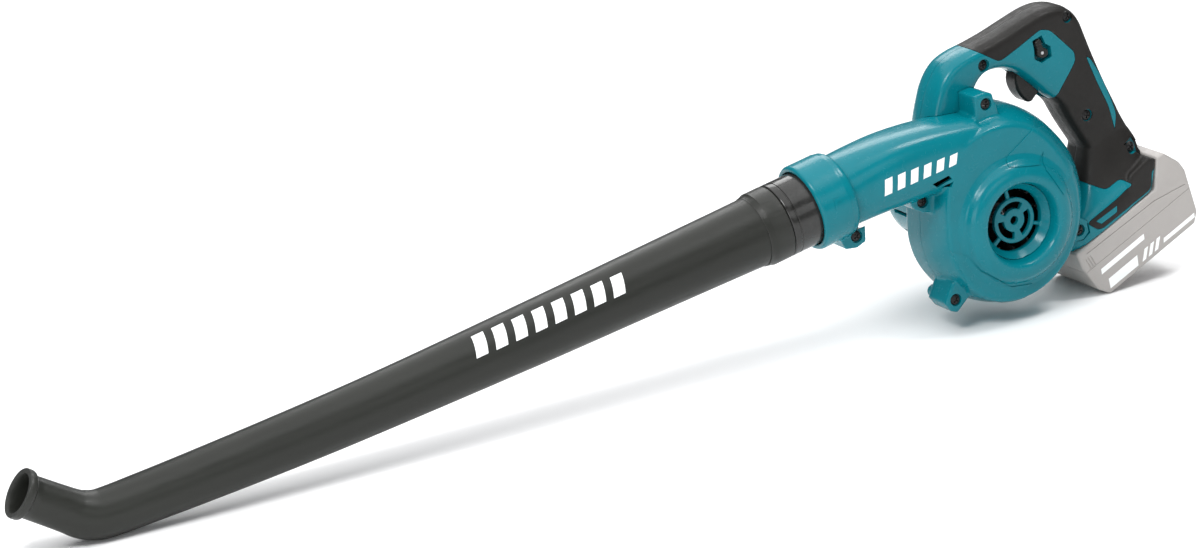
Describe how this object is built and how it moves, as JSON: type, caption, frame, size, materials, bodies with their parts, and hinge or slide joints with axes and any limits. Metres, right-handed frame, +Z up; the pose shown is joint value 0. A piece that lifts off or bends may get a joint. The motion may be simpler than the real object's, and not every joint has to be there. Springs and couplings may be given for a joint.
{
  "type": "leaf blower",
  "caption": "Handheld cordless garden leaf blower: scroll fan casing with side inlet, loop handle with trigger, slide-on battery pack and long tapered nozzle with upturned tip",
  "frame": {"origin": "centre of the bounding box at floor level", "axes": "+Z up, -X the way the nozzle points, -Y the inlet side; stored as it rests on a floor, on the lower front edge of the battery pack and the underside of the nozzle bend, tube pitched nose down by about 12 degrees"},
  "size_m": [1.0526, 0.1604, 0.2487],
  "materials": {
    "teal_shell": "moulded, satin gloss",
    "black_plastic": "moulded, fine grain",
    "grip_rubber": "soft overmould, matt",
    "nozzle_plastic": "blow-moulded, satin",
    "pack_shell": "moulded, fine grain",
    "steel": "turned",
    "dark_steel": "black oxide",
    "copper": "wound and turned",
    "board_green": "circuit board",
    "cell_wrap": "shrink wrap"
  },
  "bodies": {
    "housing": {"inlet_cover": "teal_shell", "scroll_back": "teal_shell", "inlet_guard": "teal_shell", "outlet_collar": "teal_shell", "motor_housing": "teal_shell", "motor_can": "steel", "magnet_ring": "dark_steel", "motor_plate": "teal_shell", "motor_front_bell": "steel", "motor_end_bell": "black_plastic", "front_bearing": "steel", "rear_bearing": "steel", "brush_top": "dark_steel", "brush_bottom": "dark_steel", "handle_half_near": "teal_shell", "handle_half_far": "teal_shell", "grip_skin_near": "grip_rubber", "grip_skin_far": "grip_rubber", "trigger_spring": "steel", "switch_body": "black_plastic", "lock_lever_pin": "steel", "control_board": "board_green", "terminal_block": "black_plastic", "cover_screw_top": "dark_steel", "cover_screw_bottom": "dark_steel", "cover_screw_left": "dark_steel", "cover_screw_right": "dark_steel", "collar_screw": "dark_steel", "handle_screw_front": "dark_steel", "handle_screw_top": "dark_steel", "handle_screw_grip": "dark_steel", "handle_screw_rear": "dark_steel"},
    "rotor": {"rotor_shaft": "steel", "armature": "copper", "commutator": "copper", "impeller": "black_plastic", "impeller_nut": "steel"},
    "trigger": {"trigger": "black_plastic"},
    "lock_lever": {"lock_lever": "black_plastic"},
    "battery_pack": {"battery_case_upper": "pack_shell", "battery_case_lower": "pack_shell", "battery_cells": "cell_wrap", "button_spring": "steel"},
    "battery_button": {"battery_button": "black_plastic"},
    "adapter": {"nozzle_adapter": "black_plastic"},
    "nozzle": {"long_nozzle": "nozzle_plastic"}
  },
  "joints": [
    {"name": "rotor_spin", "type": "hinge", "parent": "housing", "child": "rotor", "pos_m": [0.33676, -0.0398, 0.08751], "axis": [0, 1, 0], "continuous": true},
    {"name": "trigger_pull", "type": "slide", "parent": "housing", "child": "trigger", "axis": [0.8056, 0, 0.5924], "range_m": [0, 0.0055], "stiffness_N_per_m": 500, "springref_m": -0.002, "deforming": ["trigger_spring"]},
    {"name": "lock_lever_turn", "type": "hinge", "parent": "housing", "child": "lock_lever", "pos_m": [0.39289, -0.0138, 0.21238], "axis": [0, 1, 0], "range_deg": [0, 13]},
    {"name": "battery_slide", "type": "slide", "parent": "housing", "child": "battery_pack", "axis": [0.897, 0, 0.442], "range_m": [0, 0.085]},
    {"name": "battery_button_press", "type": "slide", "parent": "battery_pack", "child": "battery_button", "axis": [-0.897, 0, -0.442], "range_m": [0, 0.003], "stiffness_N_per_m": 400, "springref_m": -0.002, "deforming": ["button_spring"]},
    {"name": "adapter_twist", "type": "hinge", "parent": "housing", "child": "adapter", "pos_m": [0.15359, -0.0398, 0.12937], "axis": [-0.9769, 0, -0.2135], "range_deg": [0, 30]},
    {"name": "nozzle_pull", "type": "slide", "parent": "adapter", "child": "nozzle", "axis": [-0.9769, 0, -0.2135], "range_m": [0, 0.022]}
  ]
}
